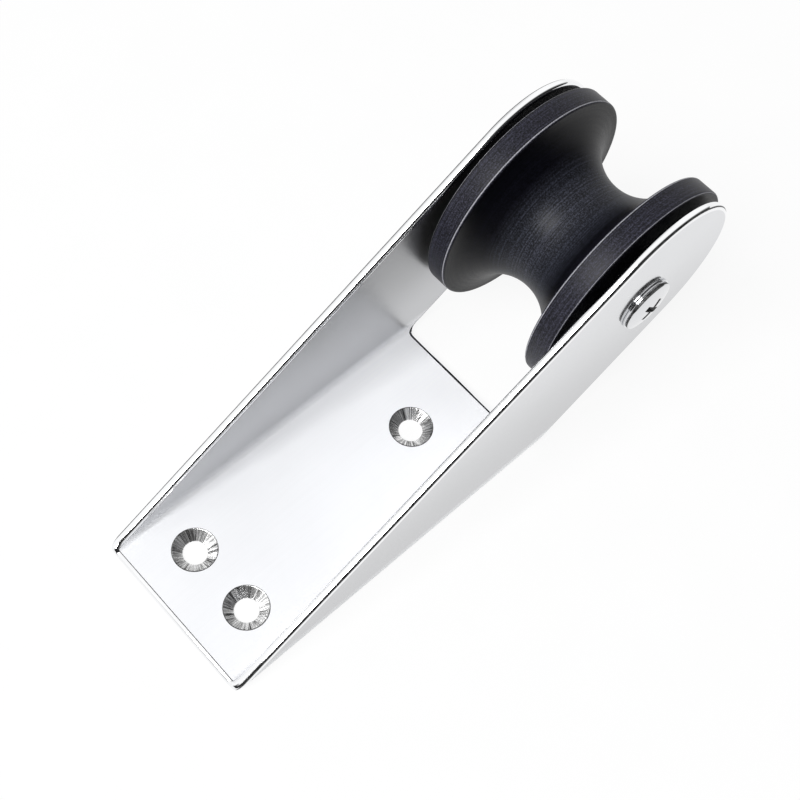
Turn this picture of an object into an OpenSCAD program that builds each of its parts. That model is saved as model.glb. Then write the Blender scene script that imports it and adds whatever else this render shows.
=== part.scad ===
// Bow roller: a bent sheet-steel channel that carries a grooved nylon roller on a sleeved axle bolt.
// +X runs forward to the nose, +Y to port and +Z up. The origin lies on the deck face, midway
// between the two rear deck-screw holes.

/* [Channel] */
// Length of the channel, from its rear edge to the tip of the nose
bracket_len = 189.5; // [180:0.5:205]
// Width of the channel over both cheeks
bracket_w = 60; // [58:0.5:66]
// Thickness of the sheet
sheet_t = 3; // [2:0.1:3]
// Inside radius of the two bends between base and cheeks
bend_r = 1.5; // [1:0.5:3]
// Length of the flat base, from the rear edge to its front edge
base_len = 120; // [115:0.5:124]
// Height of the upper edge of each cheek over the deck at the rear edge
cheek_start_h = 3; // [3:0.1:4]
// Radius of the rounded nose of each cheek
nose_r = 30.5; // [28:0.5:33]
// Height of the centre of the nose radius over the deck face
nose_h = 58; // [56:0.5:64]
// Radius that softens the lower edge of each cheek where it leaves the deck
kink_r = 8; // [4:1:12]

/* [Deck screw holes] */
// Distance of the two rear holes from the rear edge
rear_hole_inset = 18.5; // [15:0.5:24]
// Spacing of the two rear holes across the base
rear_hole_pitch = 24; // [20:0.5:32]
// Distance from the rear holes forward to the single front hole
front_hole_reach = 77.5; // [65:0.5:84]
// Diameter of each hole
hole_d = 7.6; // [6.5:0.1:9]
// Diameter of each countersink at the face of the base
countersink_d = 13.6; // [12:0.1:16]
// Height of the straight wall under each countersink
hole_land = 0.4; // [0.3:0.1:0.8]

/* [Roller] */
// Diameter of the roller over its rims
roller_d = 74; // [66:0.5:77]
// Width of the roller between its two end faces
roller_w = 49; // [46:0.5:50.5]
// Radius of the round groove that the rode runs in
groove_r = 17.2; // [15:0.1:18.5]
// Rounding of the two corners between groove and rims
rim_edge_r = 0.8; // [0.5:0.1:1.5]
// Chamfer on the outer corner of each rim
rim_chamfer = 0.6; // [0.3:0.1:1]
// Height of the axle below the centre of the nose radius
axle_drop = 5.5; // [3:0.5:8]
// Distance of the axle behind the centre of the nose radius
axle_setback = 2.5; // [0:0.5:4]

/* [Axle] */
// Diameter of the axle bolt
bolt_d = 8; // [6:0.5:8]
// Outer diameter of the sleeve that the roller turns on
sleeve_d = 12; // [11:0.5:14]
// Diameter of the bolt head
head_d = 17.6; // [16:0.2:18.6]
// Height of the straight flank of the bolt head
head_flank = 0.8; // [0.5:0.1:2]
// Height of the dome above that flank
head_dome = 1.6; // [1.2:0.1:2.6]
// Width of the arms of the cross recess
recess_w = 1.6; // [1:0.1:2]
// Span of the cross recess over two arms
recess_span = 9; // [6:0.5:10]
// Depth of the cross recess below the top of the dome
recess_depth = 1.8; // [1.2:0.1:2.2]
// Diameter of the two plain washers outside the cheeks
washer_d = 18.5; // [17:0.5:24]
// Thickness of the two plain washers
washer_t = 0.8; // [0.6:0.1:1.6]
// Diameter of the two thrust washers between roller and cheeks
thrust_d = 24; // [20:1:30]
// Width of the lock nut across its flats
nut_flats = 13; // [12:0.5:14]
// Height of the hexagon of the lock nut
nut_hex_h = 5.6; // [5:0.1:7]
// Height of the round collar that holds the nylon ring
nut_collar_h = 2.4; // [2:0.1:3]
// Length of bolt that stands out of the lock nut
bolt_end = 1.5; // [0.5:0.5:3]

/* [Hidden] */
$fn = 96;

// Overshoot of a cutter beyond the face that it cuts
over = 1;
// Radial gap between the sleeve and what turns on it
running_gap = 0.08;
// Radial gap between the bolt and the holes that it passes through
bolt_gap = 0.2;
// Radial gap between the bolt and the untapped bores of the lock nut and its ring
thread_gap = 0.05;
// Gap on each side of a thrust washer
end_play = 0.2;
// Thickness of the rolled lip that closes the nut's collar over the nylon ring
lip_t = 0.5;

rear_x = -rear_hole_inset;
base_front_x = rear_x + base_len;
inner_w = bracket_w - 2 * sheet_t;
cheek_h = nose_h + nose_r + over;

nose_centre = [rear_x + bracket_len - nose_r, nose_h];
top_start = [rear_x, cheek_start_h];
kink = [base_front_x, 0];
axle_x = nose_centre.x - axle_setback;
axle_z = nose_centre.y - axle_drop;

roller_r = roller_d / 2;
bolt_r = bolt_d / 2;
bolt_hole_r = bolt_r + bolt_gap;
thread_bore_r = bolt_r + thread_gap;
sleeve_bore_r = sleeve_d / 2 + running_gap;
thrust_t = (inner_w - roller_w) / 2 - 2 * end_play;
nut_seat_y = bracket_w / 2 + washer_t;
nut_h = nut_hex_h + nut_collar_h;
nut_corner_r = nut_flats / 2 / cos(30);
collar_r = nut_flats / 2 - 0.5;
ring_r = collar_r - 0.8;

// Slope of the straight edge that runs from p to touch the nose circle: side 1 touches its upper
// side, -1 its lower side.
function slope(p, side) =
    let (to_centre = nose_centre - p)
    atan2(to_centre.y, to_centre.x) + side * asin(nose_r / norm(to_centre));
// Point where that edge touches the nose circle.
function touch(p, side) =
    let (reach = sqrt(pow(norm(nose_centre - p), 2) - nose_r * nose_r))
    p + reach * [cos(slope(p, side)), sin(slope(p, side))];

// Turns a solid built along +Z so that it runs along +Y, with its base on the plane y = start.
module along_y(start) {
    translate([axle_x, start, axle_z]) rotate([-90, 0, 0]) children();
}

// Ring on the axle: outer radius r, bore radius bore, from y = start over the given length.
module axle_ring(r, bore, start, length) {
    along_y(start) difference() {
        cylinder(r = r, h = length);
        translate([0, 0, -over]) cylinder(r = bore, h = length + 2 * over);
    }
}

// Cross-section of the bent sheet, inset by the given depth from its outer faces.
module channel_section(inset) {
    half = bracket_w / 2 - inset;
    corner = bend_r + sheet_t - inset;
    translate([-half, inset + corner]) square([2 * half, cheek_h - inset - corner]);
    translate([-half + corner, inset]) square([2 * (half - corner), corner + over]);
    for (side = [-1, 1])
        translate([side * (half - corner), inset + corner]) circle(r = corner);
}

// Side outline that both cheeks and the base are cut to, as a solid across the channel.
module side_outline() {
    kink_slope = slope(kink, -1);
    setback = kink_r * tan(kink_slope / 2);
    kink_exit = kink + setback * [cos(kink_slope), sin(kink_slope)];
    across = bracket_w + 2 * over;
    translate([0, across / 2, 0]) rotate([90, 0, 0]) {
        linear_extrude(across) polygon([
            [rear_x, 0], [kink.x - setback, 0], kink_exit,
            touch(kink, -1), nose_centre, touch(top_start, 1), top_start
        ]);
        translate(nose_centre) cylinder(r = nose_r, h = across);
        translate([kink.x - setback, kink_r]) cylinder(r = kink_r, h = across);
    }
}

// Countersunk hole through the base, open at both faces.
module deck_hole() {
    translate([0, 0, -over]) cylinder(d = hole_d, h = sheet_t + 2 * over);
    translate([0, 0, hole_land])
        cylinder(d1 = hole_d, d2 = countersink_d, h = sheet_t - hole_land);
    translate([0, 0, sheet_t]) cylinder(d = countersink_d, h = over);
}

module bracket() {
    color("gainsboro") difference() {
        intersection() {
            translate([rear_x, 0, 0]) rotate([90, 0, 90]) linear_extrude(bracket_len) difference() {
                channel_section(0);
                channel_section(sheet_t);
            }
            side_outline();
        }
        translate([base_front_x, -inner_w / 2, -over]) cube([bracket_len, inner_w, cheek_h]);
        for (side = [-1, 1])
            translate([0, side * rear_hole_pitch / 2, 0]) deck_hole();
        translate([front_hole_reach, 0, 0]) deck_hole();
        along_y(-bracket_w / 2 - over) cylinder(r = bolt_hole_r, h = bracket_w + 2 * over);
    }
}

// Half-section of the roller: x is the radius, y the distance from its middle plane.
module roller_section() {
    half = roller_w / 2;
    edge_x = roller_r - rim_edge_r;
    edge_y = sqrt(pow(groove_r + rim_edge_r, 2) - rim_edge_r * rim_edge_r);
    touch_share = groove_r / (groove_r + rim_edge_r);
    difference() {
        polygon([
            [sleeve_bore_r, -half], [roller_r - rim_chamfer, -half], [roller_r, -half + rim_chamfer],
            [roller_r, half - rim_chamfer], [roller_r - rim_chamfer, half], [sleeve_bore_r, half]
        ]);
        translate([roller_r, 0]) circle(r = groove_r);
        for (side = [-1, 1]) scale([1, side]) difference() {
            polygon([
                [edge_x, edge_y], [roller_r - rim_edge_r * touch_share, edge_y * touch_share],
                [roller_r + over, edge_y * touch_share], [roller_r + over, edge_y]
            ]);
            translate([edge_x, edge_y]) circle(r = rim_edge_r);
        }
    }
}

module roller() {
    color([0.13, 0.13, 0.15]) along_y(0) rotate_extrude() roller_section();
}

module axle_sleeve() {
    color("silver") axle_ring(sleeve_d / 2, bolt_hole_r, -inner_w / 2, inner_w);
}

module thrust_washer_port() {
    color([0.2, 0.2, 0.22])
        axle_ring(thrust_d / 2, sleeve_bore_r, inner_w / 2 - end_play - thrust_t, thrust_t);
}

module thrust_washer_starboard() {
    color([0.2, 0.2, 0.22])
        axle_ring(thrust_d / 2, sleeve_bore_r, end_play - inner_w / 2, thrust_t);
}

// Domed head with a cross recess, on a plain shank that runs through to the lock nut.
module axle_bolt() {
    seat_y = -bracket_w / 2 - washer_t;
    shank_len = nut_seat_y + nut_h + bolt_end - seat_y;
    dome_r = (pow(head_d / 2, 2) + pow(head_dome, 2)) / (2 * head_dome);
    top = head_flank + head_dome;
    color("silver") along_y(seat_y) {
        cylinder(r = bolt_r, h = shank_len);
        mirror([0, 0, 1]) difference() {
            intersection() {
                cylinder(d = head_d, h = top);
                translate([0, 0, top - dome_r]) sphere(r = dome_r);
            }
            for (turn = [45, 135])
                rotate(turn) translate([-recess_span / 2, -recess_w / 2, top - recess_depth])
                    cube([recess_span, recess_w, recess_depth + over]);
        }
    }
}

module head_washer() {
    color("silver") axle_ring(washer_d / 2, bolt_hole_r, -bracket_w / 2 - washer_t, washer_t);
}

module nut_washer() {
    color("silver") axle_ring(washer_d / 2, bolt_hole_r, bracket_w / 2, washer_t);
}

// Hexagon with chamfered corners, and a round collar with a seat for the nylon ring.
module lock_nut() {
    color("silver") along_y(nut_seat_y) difference() {
        union() {
            intersection() {
                cylinder(r = nut_corner_r, h = nut_hex_h, $fn = 6);
                cylinder(r1 = nut_corner_r + nut_hex_h - 0.6, r2 = nut_corner_r - 0.6, h = nut_hex_h);
                cylinder(r1 = nut_corner_r - 0.6, r2 = nut_corner_r + nut_hex_h - 0.6, h = nut_hex_h);
            }
            translate([0, 0, nut_hex_h]) cylinder(r = collar_r, h = nut_collar_h);
        }
        translate([0, 0, -over]) cylinder(r = thread_bore_r, h = nut_h);
        translate([0, 0, nut_hex_h]) cylinder(r = ring_r, h = nut_collar_h - lip_t);
        translate([0, 0, nut_hex_h]) cylinder(r = ring_r - lip_t, h = nut_collar_h + over);
    }
}

module lock_nut_ring() {
    color("cornflowerblue")
        axle_ring(ring_r, thread_bore_r, nut_seat_y + nut_hex_h, nut_collar_h - lip_t);
}

bracket();
roller();
axle_sleeve();
thrust_washer_port();
thrust_washer_starboard();
axle_bolt();
head_washer();
nut_washer();
lock_nut();
lock_nut_ring();
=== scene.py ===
"""Looks of the bow roller: every CAD node is replaced by a detailed piece of the same size."""

import math

import bmesh
import bpy
from mathutils import Matrix, Vector


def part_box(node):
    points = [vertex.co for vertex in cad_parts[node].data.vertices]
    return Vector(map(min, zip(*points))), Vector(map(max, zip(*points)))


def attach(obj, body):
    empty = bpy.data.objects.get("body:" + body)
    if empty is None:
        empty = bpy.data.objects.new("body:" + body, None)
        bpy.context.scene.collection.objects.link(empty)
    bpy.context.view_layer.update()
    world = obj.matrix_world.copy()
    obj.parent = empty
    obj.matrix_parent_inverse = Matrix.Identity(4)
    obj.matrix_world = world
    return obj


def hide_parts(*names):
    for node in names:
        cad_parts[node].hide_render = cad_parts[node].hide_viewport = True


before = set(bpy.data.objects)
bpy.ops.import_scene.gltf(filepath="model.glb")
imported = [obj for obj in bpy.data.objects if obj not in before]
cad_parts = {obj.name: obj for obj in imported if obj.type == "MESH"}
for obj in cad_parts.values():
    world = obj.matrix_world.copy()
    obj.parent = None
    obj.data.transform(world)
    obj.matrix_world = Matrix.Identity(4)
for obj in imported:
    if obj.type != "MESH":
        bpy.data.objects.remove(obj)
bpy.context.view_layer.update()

MM = 0.001

# ---- Sizes read from the CAD boxes ---------------------------------------------------------
BOX = {node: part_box(node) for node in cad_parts}


def size(node):
    lo, hi = BOX[node]
    return hi - lo


rear_x = BOX["bracket"][0].x
half_w = BOX["bracket"][1].y
inner_y = BOX["axle_sleeve"][1].y
sheet_t = half_w - inner_y
roller_r = size("roller").x / 2
roller_half = size("roller").y / 2
AXLE = (BOX["roller"][0] + BOX["roller"][1]) / 2

# Sizes that no box gives.
# Bracket: front edge of the base, nose radius, height of the cheeks' upper edge at the rear, and radii
# inside the bends, at the front and rear corners and along the sheet's edges
BASE_FRONT = 101.5 * MM
NOSE_R = 30.5 * MM
START_H = 3.0 * MM
BEND_R = 1.5 * MM
KINK_R = 4.0 * MM
REAR_CORNER_R = 2.2 * MM
EDGE_R = 1.3 * MM
# Deck holes: countersink at the face, hole, straight wall under the countersink, places as (x, y)
COUNTERSINK_R = 6.8 * MM
HOLE_R = 3.8 * MM
HOLE_LAND = 0.4 * MM
HOLE_SITES = [(0.0, 12.0 * MM), (0.0, -12.0 * MM), (77.5 * MM, 0.0)]
# Axle bolt, and the holes and bores that it passes through: clear ones and those of the lock nut
BOLT_R = 4.0 * MM
BOLT_HOLE_R = 4.2 * MM
THREAD_BORE_R = BOLT_R + 0.05 * MM
# What turns on the axle sleeve has this bore
running_bore = size("axle_sleeve").x / 2 + 0.08 * MM
# Roller: rope groove, and the rounding between groove and rims
GROOVE_R = 17.2 * MM
RIM_EDGE_R = 0.8 * MM


# ---- Mesh helpers --------------------------------------------------------------------------
def arc(centre, radius, start, end, step=math.radians(3)):
    """Points on an arc, both ends included."""
    count = max(2, math.ceil(abs(end - start) / step))
    angles = [start + (end - start) * i / count for i in range(count + 1)]
    return [(centre[0] + radius * math.cos(a), centre[1] + radius * math.sin(a)) for a in angles]


def rounded(corners, step=math.radians(15)):
    """Closed outline through corners (x, y, radius), each corner rounded to its radius."""
    outline = []
    for i, (x, y, radius) in enumerate(corners):
        corner = Vector((x, y))
        back = (Vector(corners[i - 1][:2]) - corner).normalized()
        ahead = (Vector(corners[(i + 1) % len(corners)][:2]) - corner).normalized()
        half = back.angle(ahead) / 2
        if radius <= 0:
            outline.append((x, y))
            continue
        centre = corner + (back + ahead).normalized() * radius / math.sin(half)
        a = corner + back * radius / math.tan(half) - centre
        b = corner + ahead * radius / math.tan(half) - centre
        start = math.atan2(a.y, a.x)
        turn = (math.atan2(b.y, b.x) - start + math.pi) % (2 * math.pi) - math.pi
        outline += arc(centre, radius, start, start + turn, step)
    return outline


def new_piece(name, bm, material, sharp=35.0):
    """Makes a shown object out of bm, smooth except at edges sharper than the given angle."""
    bmesh.ops.recalc_face_normals(bm, faces=bm.faces)
    mesh = bpy.data.meshes.new(name)
    for face in bm.faces:
        face.smooth = True
    bm.to_mesh(mesh)
    bm.free()
    if sharp:
        mesh.set_sharp_from_angle(angle=math.radians(sharp))
    piece = bpy.data.objects.new(name, mesh)
    bpy.context.collection.objects.link(piece)
    mesh.materials.append(material)
    return piece


def join_rings(bm, rings):
    """Closed surface through sections that stand round an axis."""
    for i, here in enumerate(rings):
        there = rings[(i + 1) % len(rings)]
        for k in range(len(here)):
            j = (k + 1) % len(here)
            bm.faces.new((here[k], here[j], there[j], there[k]))


def lathe(profile, segments=128, waviness=None):
    """Turns the closed profile of (radius, y) about the Y axis. waviness may change a radius."""
    bm = bmesh.new()
    rings = []
    for i in range(segments):
        angle = 2 * math.pi * i / segments
        ring = []
        for r, y in profile:
            radius = waviness(r, y, angle) if waviness else r
            ring.append(bm.verts.new((radius * math.cos(angle), y, radius * math.sin(angle))))
        rings.append(ring)
    join_rings(bm, rings)
    return bm


def place(piece, node, body):
    """Puts a piece built about the axle in the frame, in the stead of its CAD node."""
    piece.location = (AXLE.x, 0, AXLE.z)
    bpy.context.view_layer.update()
    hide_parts(node)
    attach(piece, body)


def ring_piece(name, node, body, bore, material, edge, segments=128):
    """Turned ring, its edges rounded to the radius edge, that fills the CAD node's box."""
    outer = size(node).x / 2
    lo, hi = BOX[node][0].y, BOX[node][1].y
    profile = rounded([(bore, lo, edge), (outer, lo, edge), (outer, hi, edge), (bore, hi, edge)])
    place(new_piece(name, lathe(profile, segments), material), node, body)


# ---- Material helpers ----------------------------------------------------------------------
class Graph:
    """Short way to build a node tree."""

    def __init__(self, tree):
        self.tree = tree
        tree.nodes.clear()

    def add(self, kind, inputs=None, **properties):
        node = self.tree.nodes.new(kind)
        for key, value in properties.items():
            setattr(node, key, value)
        for key, value in (inputs or {}).items():
            if isinstance(value, bpy.types.NodeSocket):
                self.tree.links.new(value, node.inputs[key])
            else:
                node.inputs[key].default_value = value
        return node

    def math(self, operation, a, b=0.0):
        return self.add("ShaderNodeMath", {0: a, 1: b}, operation=operation).outputs[0]

    def weighted(self, a, share_a, b, share_b):
        """Sum of two values, each times its share."""
        return self.math("ADD", self.math("MULTIPLY", a, share_a), self.math("MULTIPLY", b, share_b))

    def ramp(self, value, stops):
        """Colour ramp through stops (position, grey level or colour)."""
        node = self.add("ShaderNodeValToRGB", {"Fac": value})
        elements = node.color_ramp.elements
        for i, (position, colour) in enumerate(stops):
            element = elements[i] if i < 2 else elements.new(position)
            element.position = position
            element.color = colour if isinstance(colour, tuple) else (colour, colour, colour, 1)
        return node.outputs[0]

    def between(self, value, low, high, start, end, kind="SMOOTHSTEP"):
        """Runs from start to end while value goes from low to high."""
        inputs = {0: value, 1: low, 2: high, 3: start, 4: end}
        return self.add("ShaderNodeMapRange", inputs, interpolation_type=kind).outputs[0]

    def spread(self, noise, start, end, low=0.3, high=0.7):
        """Runs evenly from start to end over the middle of a noise."""
        return self.between(noise, low, high, start, end, "LINEAR")

    def mix(self, factor, a, b):
        """Blend of two numbers."""
        return self.add("ShaderNodeMix", {0: factor, 2: a, 3: b}, data_type="FLOAT").outputs[0]

    def colour_mix(self, factor, a, b, blend="MIX"):
        """Blend of two colours."""
        node = self.add("ShaderNodeMix", {0: factor, 6: a, 7: b}, data_type="RGBA", blend_type=blend)
        return node.outputs[2]

    def noise(self, vector, scale, detail=2.0, roughness=0.5):
        inputs = {"Vector": vector, "Scale": scale, "Detail": detail, "Roughness": roughness}
        return self.add("ShaderNodeTexNoise", inputs).outputs[0]

    def bump(self, height, strength, distance):
        inputs = {"Height": height, "Strength": strength, "Distance": distance}
        return self.add("ShaderNodeBump", inputs).outputs[0]

    def attribute(self, name, output):
        """Value that the mesh carries under that name."""
        node = self.add("ShaderNodeAttribute", attribute_name=name, attribute_type="GEOMETRY")
        return node.outputs[output]


def new_material(name):
    """Material with one shader: returns it, its graph, the shader and the object coordinates."""
    material = bpy.data.materials.new(name)
    material.use_nodes = True
    graph = Graph(material.node_tree)
    shader = graph.add("ShaderNodeBsdfPrincipled")
    graph.add("ShaderNodeOutputMaterial", {"Surface": shader.outputs[0]})
    coordinates = graph.add("ShaderNodeTexCoord").outputs["Object"]
    return material, graph, shader, coordinates


def link(graph, shader, name, value):
    graph.tree.links.new(value, shader.inputs[name])


def polar(graph, coordinates):
    """Vector (distance from the Y axis, y, 0)."""
    split = graph.add("ShaderNodeSeparateXYZ", {0: coordinates})
    flat = graph.add("ShaderNodeCombineXYZ", {0: split.outputs[0], 1: 0.0, 2: split.outputs[2]})
    radius = graph.add("ShaderNodeVectorMath", {0: flat.outputs[0]}, operation="LENGTH").outputs["Value"]
    return graph.add("ShaderNodeCombineXYZ", {0: radius, 1: split.outputs[1], 2: 0.0}).outputs[0]


# Each returns its material; low and high are the bounds of its roughness.
def steel(name, tint, low, high, scale):
    """Polished steel: clear mirror with a faint cloudiness."""
    material, graph, shader, coordinates = new_material(name)
    cloud = graph.noise(coordinates, scale, 4.0, 0.6)
    shader.inputs["Metallic"].default_value = 1.0
    colour = graph.ramp(cloud, [(0.3, (*[c * 0.97 for c in tint], 1)), (0.7, (*tint, 1))])
    link(graph, shader, "Base Color", colour)
    link(graph, shader, "Roughness", graph.spread(cloud, low, high))
    link(graph, shader, "Normal", graph.bump(cloud, 0.02, 0.2 * MM))
    return material


def satin_steel():
    """Wide faces of the channel: mirror-polished cheeks that fade into a pale satin base, their tones
    graded as painted light and shade.
    """
    material, graph, shader, coordinates = new_material("satin_steel")
    cloud = graph.noise(coordinates, 35.0, 3.0, 0.5)
    brushing = {"Vector": coordinates, "Scale": (40.0, 2600.0, 2600.0)}
    lines = graph.noise(graph.add("ShaderNodeMapping", brushing).outputs[0], 1.0, 3.0, 0.6)
    both = graph.weighted(cloud, 0.6, lines, 0.4)
    split = graph.add("ShaderNodeSeparateXYZ", {0: coordinates})
    forward, height = split.outputs[0], split.outputs[2]
    breadth = graph.math("ABSOLUTE", split.outputs[1])
    cheek = graph.between(height, 3.5 * MM, 8.5 * MM, 0.0, 1.0)
    outside = graph.between(breadth, half_w - 1.2 * MM, half_w - 0.8 * MM, 0.0, 1.0)

    # Painted light and shade: the cheeks' outer faces lighter towards the top, their inner faces darker
    # towards the top, and the base lighter towards the front, where the roller shades it.
    outer_painted_light = graph.between(height, 5 * MM, 80 * MM, 0.47, 0.70)
    inner_painted_shade = graph.between(height, 12 * MM, 58 * MM, 0.54, 0.33)
    base_painted_light = graph.between(forward, 10 * MM, 90 * MM, 0.84, 0.99)
    tone = graph.mix(cheek, base_painted_light, graph.mix(outside, inner_painted_shade, outer_painted_light))
    tone = graph.math("MULTIPLY", tone, graph.between(both, 0.3, 0.7, 0.98, 1.02))
    tint = {0: (0.985, 0.995, 1.02), "Scale": tone}
    link(graph, shader, "Base Color", graph.add("ShaderNodeVectorMath", tint, operation="SCALE").outputs[0])
    link(graph, shader, "Metallic", graph.mix(cheek, 0.1, 1.0))

    base_rough = graph.between(both, 0.3, 0.7, 0.30, 0.40)
    cheek_rough = graph.between(both, 0.3, 0.7, 0.06, 0.13)
    cheek_rough = graph.math("ADD", cheek_rough, graph.mix(outside, 0.24, 0.0))
    link(graph, shader, "Roughness", graph.mix(cheek, base_rough, cheek_rough))
    link(graph, shader, "Normal", graph.bump(lines, 0.03, 0.05 * MM))
    return material


def painted_dark_steel():
    """Painted dark reflection: a thin dark line beside each rounded edge and the dark flank of the bolt
    head; painted shade in the bolt head's recess.
    """
    material, graph, shader, coordinates = new_material("painted_dark_steel")
    cloud = graph.noise(coordinates, 700.0, 3.0, 0.6)
    shader.inputs["Metallic"].default_value = 0.8
    link(graph, shader, "Base Color", graph.ramp(cloud, [(0.35, 0.02), (0.65, 0.12)]))
    link(graph, shader, "Roughness", graph.spread(cloud, 0.35, 0.5))
    return material


def machined_steel():
    """Wall of a countersink: radial chatter of the cutter round each hole."""
    material, graph, shader, _ = new_material("countersink_steel")
    around = graph.attribute("around", "Vector")
    coarse = graph.noise(around, 3.0, 2.0, 0.6)
    fine = graph.noise(around, 11.0, 3.0, 0.75)
    both = graph.weighted(coarse, 0.3, fine, 0.7)
    shader.inputs["Metallic"].default_value = 0.9
    link(graph, shader, "Base Color", graph.ramp(both, [(0.41, 0.05), (0.48, 0.50), (0.58, 0.90)]))
    link(graph, shader, "Roughness", graph.spread(fine, 0.16, 0.3))
    link(graph, shader, "Normal", graph.bump(both, 0.6, 0.25 * MM))
    return material


def turned_nylon(name, dark, light, low, high):
    """Turned nylon: fine circumferential tool lines and a fine speckle."""
    material, graph, shader, coordinates = new_material(name)
    lines = graph.noise(polar(graph, coordinates), 1800.0, 3.0, 0.75)
    speckle = graph.noise(coordinates, 3500.0, 2.0, 0.6)
    mixed = graph.weighted(lines, 0.45, speckle, 0.55)
    link(graph, shader, "Base Color", graph.ramp(mixed, [(0.36, (*dark, 1)), (0.64, (*light, 1))]))
    link(graph, shader, "Roughness", graph.spread(mixed, low, high, 0.35, 0.65))
    link(graph, shader, "Normal", graph.bump(mixed, 0.6, 0.03 * MM))
    return material


def roller_nylon():
    """Black nylon of the roller, painted by radius: paler rims as painted light, a painted highlight at the
    bottom of the groove, groove walls painted dark as shade, painted highlight lines on the rims' corners,
    and a speckle.
    """
    material, graph, shader, coordinates = new_material("black_nylon")
    place_round = polar(graph, coordinates)
    radius = graph.add("ShaderNodeSeparateXYZ", {0: place_round}).outputs[0]
    lines = graph.noise(place_round, 2400.0, 3.0, 0.75)
    speckle = graph.noise(coordinates, 2300.0, 3.0, 0.7)
    mixed = graph.weighted(lines, 0.4, speckle, 0.6)

    # Painted light and shade by radius: a painted highlight at the bottom of the groove, painted shade on
    # the groove walls, and paler rims where light falls
    painted_groove_highlight, painted_highlight_fade = (0.016, 0.017, 0.023, 1), (0.012, 0.013, 0.018, 1)
    wall, rim = (0.0015, 0.0015, 0.003, 1), (0.0135, 0.0135, 0.0200, 1)
    shade = graph.ramp(graph.math("DIVIDE", radius, roller_r), [
        (0.0, (0.001, 0.001, 0.0015, 1)), (0.535, painted_groove_highlight), (0.57, painted_highlight_fade), (0.68, wall),
        (0.975, wall), (0.99, rim),
    ])
    grain = graph.ramp(mixed, [(0.42, 0.15), (0.5, 0.9), (0.60, 3.2)])
    grained = graph.colour_mix(1.0, shade, grain, "MULTIPLY")
    # Painted highlight: a light grey line on each rim corner, where the attribute corner is 1
    painted_highlight_line = graph.math("MULTIPLY", graph.attribute("corner", "Fac"), graph.spread(speckle, 0.45, 1.0))
    link(graph, shader, "Base Color", graph.colour_mix(painted_highlight_line, grained, (0.42, 0.42, 0.46, 1)))
    link(graph, shader, "Roughness", graph.spread(mixed, 0.34, 0.5, 0.35, 0.65))
    shader.inputs["Specular IOR Level"].default_value = 0.14
    link(graph, shader, "Normal", graph.bump(mixed, 0.7, 0.06 * MM))
    return material


def drawn_steel():
    """Drawn tube: dull steel with fine lines round it."""
    material, graph, shader, coordinates = new_material("brushed_steel")
    lines = graph.noise(polar(graph, coordinates), 2500.0, 3.0, 0.7)
    shader.inputs["Metallic"].default_value = 1.0
    link(graph, shader, "Base Color", graph.ramp(lines, [(0.3, 0.6), (0.7, 0.76)]))
    link(graph, shader, "Roughness", graph.spread(lines, 0.2, 0.4))
    link(graph, shader, "Normal", graph.bump(lines, 0.4, 0.04 * MM))
    return material


POLISHED = steel("polished_steel", (0.93, 0.935, 0.945), 0.035, 0.07, 60.0)
SATIN = satin_steel()
# Painted dark reflection and painted shade, for thin lines at the edges and for the bolt head
PAINTED_DARK = painted_dark_steel()
BOLT_STEEL = steel("bolt_steel", (0.74, 0.745, 0.76), 0.07, 0.13, 150.0)
NUT_STEEL = steel("nut_steel", (0.56, 0.565, 0.58), 0.16, 0.28, 400.0)
MACHINED = machined_steel()
NYLON = roller_nylon()
PLASTIC = turned_nylon("dark_plastic", (0.03, 0.03, 0.034), (0.06, 0.06, 0.066), 0.45, 0.6)
BLUE = turned_nylon("blue_nylon", (0.03, 0.08, 0.28), (0.05, 0.12, 0.38), 0.4, 0.55)
DRAWN = drawn_steel()


# ---- Bracket: a flat blank with rounded edges, bent up along two lines ---------------------
# Outer radius of the bends, distance from the middle at which they start, and the length of blank in
# one of them, measured half way through the sheet
corner_r = BEND_R + sheet_t
bend_from = half_w - corner_r
bend_len = math.pi / 2 * (BEND_R + sheet_t / 2)
bend_to = bend_from + bend_len


def blank_s(z):
    """Distance across the flat blank of a height z on a cheek."""
    return bend_to + z - corner_r


def edge_of_nose(start, side):
    """Centre of the nose circle, slope of the edge from start that touches it, and the touching point."""
    centre = Vector((BOX["bracket"][1].x - NOSE_R, BOX["bracket"][1].z - NOSE_R))
    to_centre = centre - start
    slope = math.atan2(to_centre.y, to_centre.x) + side * math.asin(NOSE_R / to_centre.length)
    reach = math.sqrt(to_centre.length_squared - NOSE_R**2)
    return centre, slope, start + reach * Vector((math.cos(slope), math.sin(slope)))


def fillet(corner, before, after, radius, step=math.radians(6)):
    """Arc that rounds one corner between two neighbours."""
    return rounded([(*before, 0), (*corner, radius), (*after, 0)], step)[1:-1]


def blank_outline():
    """Outline of the flat blank as (x, s), s being the distance from its middle line."""
    kink = Vector((BASE_FRONT, 0))
    start = Vector((rear_x, START_H))
    centre, low_slope, low_touch = edge_of_nose(kink, -1)
    _, top_slope, top_touch = edge_of_nose(start, 1)
    half = fillet((BASE_FRONT, blank_s(0)), (BASE_FRONT, 0), (low_touch.x, blank_s(low_touch.y)), KINK_R)
    nose = (centre.x, blank_s(centre.y))
    half += arc(nose, NOSE_R, low_slope - math.pi / 2, top_slope + math.pi / 2, math.radians(2))
    rear = (rear_x, blank_s(START_H))
    half += fillet(rear, (top_touch.x, blank_s(top_touch.y)), (rear_x, 0), REAR_CORNER_R)
    return half + [(x, -s) for x, s in reversed(half)]


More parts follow.
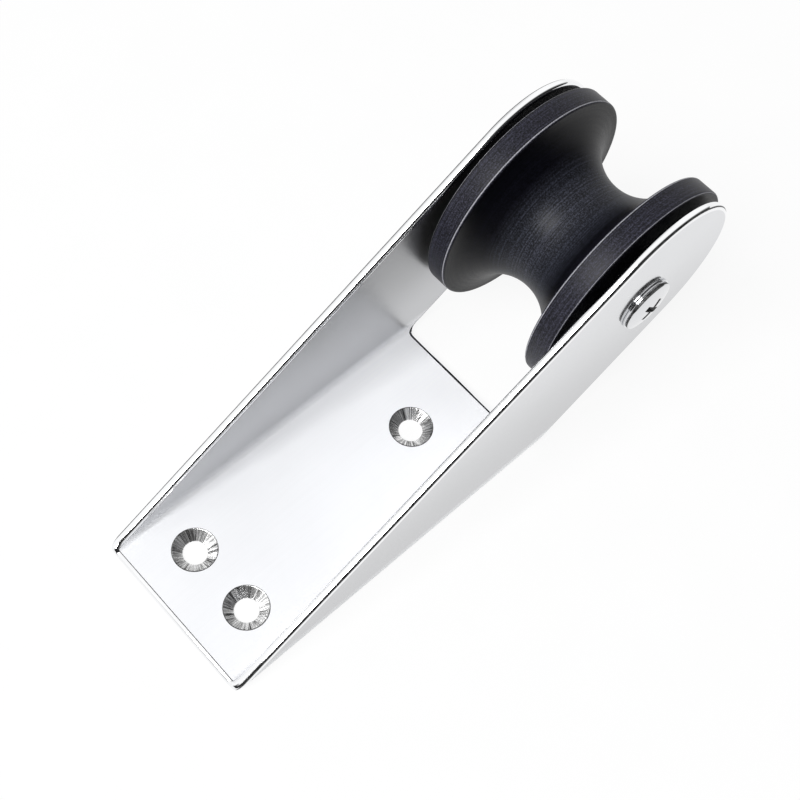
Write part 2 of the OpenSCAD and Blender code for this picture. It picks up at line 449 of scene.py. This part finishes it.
def offset_normals(outline):
    """Outward normals of a closed outline, lengthened at corners so that offsets stay parallel."""
    count = len(outline)
    area = sum(outline[i - 1][0] * outline[i][1] - outline[i][0] * outline[i - 1][1] for i in range(count))
    turn = 1 if area > 0 else -1
    normals = []
    for i in range(count):
        here = Vector(outline[i])
        a = (here - Vector(outline[i - 1])).normalized()
        b = (Vector(outline[(i + 1) % count]) - here).normalized()
        mean = (a + b).normalized()
        normal = Vector((mean.y, -mean.x)) * turn
        normals.append(normal / max(0.5, mean.dot(a)))
    return normals


# Material slots of the bracket, after the first one for its wide faces
FACE_CONE, FACE_EDGE, FACE_PAINTED_DARK = 1, 2, 3
# Width of the painted dark line, a painted reflection, beside each rounded edge
PAINTED_DARK_W = 0.24 * MM
# Break of a deck hole's edges and of an axle hole's edges
LIP = 0.28 * MM
AXLE_LIP = 0.2 * MM
# Number of flat strips in each bend
FOLDS = 14


def edge_section():
    """Section of a rounded edge from the top face to the bottom one.

    Each row holds the inset from the outline, the height in the sheet, and how far the normal points
    outward and upward. The first row is the inner border of the painted dark line.
    """
    quarter = [(1 - math.sin(math.radians(a)), math.cos(math.radians(a))) for a in range(0, 91, 10)]
    upper = [(1 + PAINTED_DARK_W / EDGE_R, 1)] + quarter
    section = []
    for points, flip in ((upper, False), (quarter[::-1], True)):
        for inset, rise in points:
            fall = EDGE_R * (1 - rise)
            outward = math.sqrt(max(0, 1 - rise * rise))
            height, upward = (fall, -rise) if flip else (sheet_t - fall, rise)
            section.append((EDGE_R * inset, height, outward, upward))
    return section


def cut_at_folds(bm):
    """Cuts the flat blank along the lines between the flat strips of the two bends."""
    for side in (-1, 1):
        for k in range(FOLDS + 1):
            cut = side * (bend_from + bend_len * k / FOLDS)
            geometry = bm.verts[:] + bm.edges[:] + bm.faces[:]
            bmesh.ops.bisect_plane(bm, geom=geometry, dist=1e-7, plane_co=(0, cut, 0), plane_no=(0, 1, 0))


def bend(bm, normal_layer):
    """Bends the blank (x, s, height in the sheet) up along both lines and returns the bent normals."""
    normals = []
    for vert in bm.verts:
        x, s, d = vert.co
        side = 1 if s >= 0 else -1
        turn = min(max((abs(s) - bend_from) / bend_len, 0), 1) * math.pi / 2
        beyond = max(abs(s) - bend_to, 0)
        y = min(abs(s), bend_from) + (corner_r - d) * math.sin(turn)
        z = corner_r - (corner_r - d) * math.cos(turn) + beyond
        flat = vert[normal_layer]
        vert.co = (x, side * y, z)
        across = Vector((0, math.cos(turn), side * math.sin(turn)))
        deep = Vector((0, -side * math.sin(turn), math.cos(turn)))
        normals.append((Vector((flat.x, 0, 0)) + across * flat.y + deep * flat.z).normalized())
    return normals


def build_bracket():
    """Bent channel: outline with rounded edges, holes, flat faces between them, then the bends."""
    bm = bmesh.new()
    normal_layer = bm.verts.layers.float_vector.new("flat_normal")
    around_layer = bm.verts.layers.float_vector.new("around")
    top_edges, bottom_edges = [], []

    def strip(rings, slots):
        """Joins rings of vertices by faces; rings[0] borders the top face, rings[-1] the bottom."""
        count = len(rings[0])
        for k in range(len(rings) - 1):
            for i in range(count):
                j = (i + 1) % count
                face = bm.faces.new((rings[k][i], rings[k][j], rings[k + 1][j], rings[k + 1][i]))
                face.material_index = slots[k]
        for ring, edges in ((rings[0], top_edges), (rings[-1], bottom_edges)):
            edges.extend(bm.edges.get((ring[i], ring[(i + 1) % count])) for i in range(count))

    outline = blank_outline()
    outward = offset_normals(outline)
    rings = []
    for inset, depth, out_share, up_share in edge_section():
        ring = []
        for (x, s), normal in zip(outline, outward):
            vert = bm.verts.new((x - normal.x * inset, s - normal.y * inset, depth))
            flat = normal.normalized()
            vert[normal_layer] = (flat.x * out_share, flat.y * out_share, up_share)
            ring.append(vert)
        rings.append(ring)
    # The strip next to each face carries the painted dark line, a painted reflection
    slots = [FACE_PAINTED_DARK] + [FACE_EDGE] * (len(rings) - 2)
    # A second painted dark line, a painted reflection, runs half way round the rounding at the bottom face,
    # the channel's outside
    slots[-6] = slots[-5] = FACE_PAINTED_DARK
    strip(rings, slots)
    for face in bm.faces:
        spots = [vert.co for vert in face.verts]
        # The base's front edge has no painted dark line
        if all(abs(co.x - BASE_FRONT) < 2 * EDGE_R and abs(co.y) < bend_from for co in spots):
            face.material_index = FACE_EDGE

    def hole(x, s, profile, slots, segments=120):
        """Hole with a wall through rows (radius, height, how far the normal points inward and up)."""
        rings = []
        for radius, depth, inward, up in profile:
            ring = []
            for i in range(segments):
                angle = 2 * math.pi * i / segments
                c, n = math.cos(angle), math.sin(angle)
                vert = bm.verts.new((x + radius * c, s + radius * n, depth))
                vert[normal_layer] = (-c * inward, -n * inward, up)
                # Changes fast round the hole and hardly with the radius, which makes radial streaks
                vert[around_layer] = (c + x / MM, n + s / MM, 0.012 * radius / MM)
                ring.append(vert)
            rings.append(ring)
        strip(rings, slots)

    cone = math.atan2(COUNTERSINK_R - HOLE_R, sheet_t - HOLE_LAND)
    cone_in, cone_up = math.cos(cone), math.sin(cone)
    # The rounded rim of each countersink carries the painted dark line, a painted reflection
    for x, s in HOLE_SITES:
        hole(x, s, [
            (COUNTERSINK_R + LIP, sheet_t, 0, 1),
            (COUNTERSINK_R + 0.1 * LIP, sheet_t - 0.1 * LIP, 0.5 * cone_in, 0.87),
            (COUNTERSINK_R - 0.5 * LIP, sheet_t - 0.6 * LIP, cone_in, cone_up),
            (HOLE_R + 0.4 * LIP, HOLE_LAND + 0.5 * LIP, cone_in, cone_up),
            (HOLE_R, HOLE_LAND - 0.2 * LIP, 1, 0),
            (HOLE_R, 0.6 * LIP, 1, 0),
            (HOLE_R + 0.6 * LIP, 0, 0, -1),
        ], [FACE_PAINTED_DARK, FACE_CONE, FACE_CONE, FACE_CONE, FACE_EDGE, FACE_EDGE])
    for side in (-1, 1):
        hole(AXLE.x, side * blank_s(AXLE.z), [
            (BOLT_HOLE_R + AXLE_LIP, sheet_t, 0, 1), (BOLT_HOLE_R, sheet_t - AXLE_LIP, 1, 0),
            (BOLT_HOLE_R, AXLE_LIP, 1, 0), (BOLT_HOLE_R + AXLE_LIP, 0, 0, -1),
        ], [FACE_EDGE] * 3, segments=64)

    for edges, up in ((top_edges, 1), (bottom_edges, -1)):
        bmesh.ops.triangle_fill(bm, edges=edges, use_beauty=True, use_dissolve=False, normal=(0, 0, up))
    cut_at_folds(bm)
    normals = bend(bm, normal_layer)
    piece = new_piece("channel_bracket", bm, SATIN, sharp=None)
    for material in (MACHINED, POLISHED, PAINTED_DARK):
        piece.data.materials.append(material)
    piece.data.normals_split_custom_set_from_vertices(normals)
    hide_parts("bracket")
    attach(piece, "channel")


# ---- Roller --------------------------------------------------------------------------------
# Turned lines in the groove, as place along the axle and depth in mm, and half the width of each
TOOL_LINES = [(-5.3, 0.03), (-3.4, 0.05), (-2.9, 0.03), (-0.6, 0.06), (0.3, 0.04), (2.6, 0.05), (4.4, 0.03)]
TOOL_LINE_HALF = 0.18 * MM


def groove_profile(half_turn):
    """Section of the groove as (radius, y), cut deeper at each turned line."""
    steps = [-half_turn + 2 * half_turn * i / 130 for i in range(131)]
    for line_y, _ in TOOL_LINES:
        middle = math.asin(line_y * MM / GROOVE_R)
        steps += [middle + share * TOOL_LINE_HALF / GROOVE_R for share in (-1, -0.5, 0, 0.5, 1)]
    groove = []
    for turn in sorted(steps):
        y = GROOVE_R * math.sin(turn)
        cut = sum(depth * MM * max(0, 1 - abs(y - p * MM) / TOOL_LINE_HALF) for p, depth in TOOL_LINES)
        groove.append((roller_r - (GROOVE_R + cut) * math.cos(turn), y))
    return groove


def build_roller():
    """Roller: end faces with rounded corners, flat rims, rounded lips and the groove."""
    edge_y = math.sqrt((GROOVE_R + RIM_EDGE_R) ** 2 - RIM_EDGE_R**2)
    groove = groove_profile(math.asin(edge_y * GROOVE_R / (GROOVE_R + RIM_EDGE_R) / GROOVE_R))
    lip_end = math.atan2(-edge_y, RIM_EDGE_R)
    lip = arc((roller_r - RIM_EDGE_R, edge_y), RIM_EDGE_R, 0, lip_end, math.radians(12))
    rim = [(r, -y) for r, y in lip]
    outer = rounded([
        (running_bore, -roller_half, 0.5 * MM), (roller_r, -roller_half, 0.7 * MM),
        (roller_r, 0, 0), (running_bore, 0, 0),
    ])
    half = outer[: outer.index((roller_r, 0))]
    profile = half + rim + groove[1:-1] + lip[::-1] + [(r, -y) for r, y in reversed(half)]
    piece = new_piece("nylon_roller", lathe(profile, 288), NYLON, sharp=40)
    # 1 along the painted highlight line on each corner of the rims, 0 elsewhere
    corner = piece.data.attributes.new("corner", "FLOAT", "POINT")
    for vert, value in zip(piece.data.vertices, corner.data):
        r, y = math.hypot(vert.co.x, vert.co.z), abs(vert.co.y)
        sunk = (roller_r - r) / MM
        inner_line = 0.01 < sunk < 0.1 and y < edge_y
        outer_line = 0.15 < sunk < 0.26 and roller_half - y < 0.4 * MM
        value.value = 1.0 if inner_line or outer_line else 0.0
    place(piece, "roller", "roller")


# ---- Axle bolt, washers, sleeve and lock nut -----------------------------------------------
# Thread of the bolt
PITCH = 1.25 * MM
THREAD_DEPTH = 0.7 * MM
# Cross recess: levels as (depth below the top of the head, half span, half width), in mm
RECESS_LEVELS = [(-0.5, 5.2, 1.1), (2.0, 1.8, 0.65)]


def recess_cutter(head_top):
    """Tapered cross that is cut out of the bolt head."""
    bm = bmesh.new()
    levels = []
    for below, span, width in RECESS_LEVELS:
        arm = [(span, -width), (span, width), (width, width)]
        ring = []
        for quarter in range(4):
            turn = math.radians(45 + 90 * quarter)
            c, n = math.cos(turn), math.sin(turn)
            y = head_top + below * MM
            ring += [bm.verts.new(((a * c - b * n) * MM, y, (a * n + b * c) * MM)) for a, b in arm]
        levels.append(ring)
    for i in range(12):
        j = (i + 1) % 12
        bm.faces.new((levels[0][i], levels[0][j], levels[1][j], levels[1][i]))
    bm.faces.new(levels[0])
    bm.faces.new(levels[1][::-1])
    return new_piece("recess_cutter", bm, BOLT_STEEL, sharp=None)


def cut_out(piece, tool):
    """Cuts the tool out of the piece and removes the tool."""
    cut = piece.modifiers.new("recess", "BOOLEAN")
    cut.operation = "DIFFERENCE"
    cut.object = tool
    cut.solver = "EXACT"
    bpy.context.view_layer.update()
    mesh = bpy.data.meshes.new_from_object(piece.evaluated_get(bpy.context.evaluated_depsgraph_get()))
    piece.modifiers.clear()
    piece.data = mesh
    bpy.data.objects.remove(tool)


def build_bolt():
    """Axle bolt: domed head with a cross recess, plain shank and a threaded end."""
    head_r = size("axle_bolt").x / 2
    lo, hi = BOX["axle_bolt"][0].y, BOX["axle_bolt"][1].y
    seat = BOX["head_washer"][0].y
    dome = 1.3 * MM
    dome_r = (head_r**2 + dome**2) / (2 * dome)

    def dome_y(r):
        return lo + dome_r - math.sqrt(dome_r**2 - r**2)

    reach = math.asin((head_r - 0.8 * MM) / dome_r)
    turns = [reach * i / 24 for i in range(25)]
    top = [(dome_r * math.sin(a), lo + dome_r * (1 - math.cos(a))) for a in turns]
    shoulder = [(*top[-1], 0), (head_r, lo + dome, 0.45 * MM), (head_r, seat, 0)]
    top += rounded(shoulder, math.radians(8))[1:-1]
    thread_from = BOX["lock_nut"][1].y - 1.0 * MM
    side = [(head_r, seat - 0.12 * MM), (head_r - 0.12 * MM, seat), (BOLT_R, seat)]
    thread_len = hi - 0.5 * MM - thread_from
    rows = math.ceil(thread_len / (0.1 * MM))
    shank = [(BOLT_R, thread_from + thread_len * i / rows) for i in range(rows + 1)]
    profile = top + side + shank + [(BOLT_R - 0.6 * MM, hi), (0.4 * MM, hi)]
    profile = [(max(r, 0.02 * MM), y) for r, y in profile]

    def thread(radius, y, angle):
        if y < thread_from + 0.05 * MM or y > hi - 0.3 * MM:
            return radius
        turn = ((y - thread_from) / PITCH - angle / (2 * math.pi)) % 1
        return radius - THREAD_DEPTH * abs(2 * turn - 1) * min(1, (y - thread_from) / (0.5 * MM))

    bm = lathe(profile, 144, thread)
    middle = [v for v in bm.verts if v.co.x**2 + v.co.z**2 < (0.03 * MM) ** 2]
    bmesh.ops.remove_doubles(bm, verts=middle, dist=0.08 * MM)
    piece = new_piece("cross_head_bolt", bm, BOLT_STEEL, sharp=None)
    cut_out(piece, recess_cutter(lo))
    mesh = piece.data
    mesh.set_sharp_from_angle(angle=math.radians(30))
    mesh.materials.append(PAINTED_DARK)
    # Painted shade in the cross recess and painted dark reflection on the head's flank
    for face in mesh.polygons:
        r = math.hypot(face.center.x, face.center.z)
        in_recess = r < 6 * MM and dome_y(r) + 0.06 * MM < face.center.y < seat
        on_flank = r > head_r - 0.1 * MM and abs(face.normal.y) < 0.3
        if in_recess or on_flank:
            face.material_index = 1
    place(piece, "axle_bolt", "channel")


def build_nut():
    """Lock nut: a hexagon with chamfered corners and a round collar with a lip over the nylon ring."""
    lo, hi = BOX["lock_nut"][0].y, BOX["lock_nut"][1].y
    flats = size("lock_nut").z / 2
    hex_top = BOX["lock_nut_ring"][0].y
    bore = THREAD_BORE_R
    collar = flats - 0.5 * MM
    face_r = flats - 0.15 * MM
    lip_r = size("lock_nut_ring").x / 2 - 0.5 * MM
    sixth = math.pi / 3
    bm = bmesh.new()
    segments = 144
    rings = []
    for i in range(segments):
        angle = 2 * math.pi * i / segments
        off = (angle + sixth / 2) % sixth - sixth / 2
        on_flat = abs(off) < sixth / 2 - 0.02
        corner = flats / math.cos(off) if on_flat else flats / math.cos(sixth / 2) - 0.12 * MM
        fall = (corner - face_r) * math.tan(math.radians(30))
        section = [
            (bore + 0.4 * MM, lo), (face_r, lo), (corner, lo + fall),
            (corner, hex_top - fall), (face_r, hex_top), (collar + 0.15 * MM, hex_top),
            (collar, hex_top + 0.15 * MM), (collar, hi - 0.9 * MM), (collar - 0.3 * MM, hi - 0.3 * MM),
            (collar - 0.9 * MM, hi), (lip_r + 0.2 * MM, hi), (lip_r, hi - 0.2 * MM),
            (lip_r, hi - 0.5 * MM), (lip_r + 0.5 * MM, hi - 0.5 * MM), (lip_r + 0.5 * MM, hex_top),
            (bore, hex_top), (bore, lo + 0.4 * MM),
        ]
        turned = angle + math.pi / 2
        c, n = math.cos(turned), math.sin(turned)
        rings.append([bm.verts.new((r * c, y, r * n)) for r, y in section])
    join_rings(bm, rings)
    piece = new_piece("lock_nut_body", bm, NUT_STEEL, sharp=28)
    place(piece, "lock_nut", "channel")


build_bracket()
build_roller()
build_bolt()
build_nut()
ring_piece("spacer_sleeve", "axle_sleeve", "channel", BOLT_HOLE_R, DRAWN, 0.3 * MM)
ring_piece("flat_washer_head", "head_washer", "channel", BOLT_HOLE_R, BOLT_STEEL, 0.25 * MM)
ring_piece("flat_washer_nut", "nut_washer", "channel", BOLT_HOLE_R, NUT_STEEL, 0.25 * MM)
for side in ("port", "starboard"):
    node = "thrust_washer_" + side
    ring_piece("slip_washer_" + side, node, node, running_bore, PLASTIC, 0.35 * MM)
ring_piece("nut_insert", "lock_nut_ring", "channel", THREAD_BORE_R, BLUE, 0.2 * MM, 96)


# ---- Stage, light and camera ---------------------------------------------------------------
# The brightest way in the studio, and the camera: lens in mm, place, view direction and roll
BRIGHT_WAY = Vector((0.10, 0.90, 0.42)).normalized()
LENS = 62.576
CAMERA_PLACE = Vector((-82.06, -120.34, 396.19)) * MM
CAMERA_FORWARD = Vector((0.36701, 0.29133, -0.88342))
CAMERA_ROLL = math.radians(10.015)


def build_floor():
    """Pale floor just under the part, lit up a little so that it stays white."""
    bm = bmesh.new()
    bmesh.ops.create_grid(bm, x_segments=8, y_segments=8, size=3.0)
    material, graph, shader, coordinates = new_material("pale_floor")
    grain = graph.noise(coordinates, 40.0, 2.0, 0.5)
    link(graph, shader, "Base Color", graph.ramp(grain, [(0.3, 0.085), (0.7, 0.09)]))
    shader.inputs["Roughness"].default_value = 1.0
    shader.inputs["Specular IOR Level"].default_value = 0.0
    shader.inputs["Emission Color"].default_value = (1.0, 1.0, 1.0, 1.0)
    shader.inputs["Emission Strength"].default_value = 0.90
    floor = new_piece("floor", bm, material, sharp=None)
    floor.location.z = -0.2 * MM


def build_world():
    """Studio as a soft gradient from bright, port and overhead, to dark and then grey to starboard."""
    world = bpy.data.worlds.new("studio")
    world.use_nodes = True
    bpy.context.scene.world = world
    graph = Graph(world.node_tree)
    direction = graph.add("ShaderNodeTexCoord").outputs["Generated"]
    facing = graph.add("ShaderNodeVectorMath", {0: direction, 1: BRIGHT_WAY}, operation="DOT_PRODUCT")
    place_on_ramp = graph.math("ADD", graph.math("MULTIPLY", facing.outputs["Value"], 0.5), 0.5)
    stops = [(0.0, 0.36), (0.08, 0.30), (0.17, 0.06), (0.25, 0.02), (0.48, 0.03), (0.57, 0.4), (0.64, 1.0),
             (0.9, 1.0), (1.0, 0.65)]
    studio = graph.ramp(place_on_ramp, stops)
    ray = graph.add("ShaderNodeLightPath")
    ambient = graph.colour_mix(ray.outputs["Is Diffuse Ray"], studio, (0.22, 0.22, 0.225, 1))
    colour = graph.colour_mix(ray.outputs["Is Camera Ray"], ambient, (0.93, 0.93, 0.93, 1))
    background = graph.add("ShaderNodeBackground", {"Color": colour, "Strength": 1.05})
    graph.add("ShaderNodeOutputWorld", {"Surface": background.outputs[0]})


def build_light():
    """One soft square light, high and aft."""
    light = bpy.data.lights.new("key", "AREA")
    light.shape = "SQUARE"
    light.size = 1.0
    light.energy = 45.5
    holder = bpy.data.objects.new("key", light)
    bpy.context.collection.objects.link(holder)
    holder.location = (-1.15, 0.02, 1.6)
    holder.rotation_euler = (-holder.location).to_track_quat("-Z", "Y").to_euler()
    holder.visible_camera = False


def build_camera():
    """Camera at the named place, looking along CAMERA_FORWARD and turned by CAMERA_ROLL about it."""
    camera = bpy.data.cameras.new("photo_camera")
    camera.sensor_width = 36.0
    camera.lens = LENS
    camera.clip_start = 0.01
    holder = bpy.data.objects.new("photo_camera", camera)
    bpy.context.collection.objects.link(holder)
    turned = CAMERA_FORWARD.to_track_quat("-Z", "Y").to_matrix().to_4x4()
    roll = Matrix.Rotation(CAMERA_ROLL, 4, "Z")
    holder.matrix_world = Matrix.Translation(CAMERA_PLACE) @ turned @ roll
    bpy.context.scene.camera = holder


build_floor()
build_world()
build_light()
build_camera()
bpy.context.scene.view_settings.view_transform = "Standard"
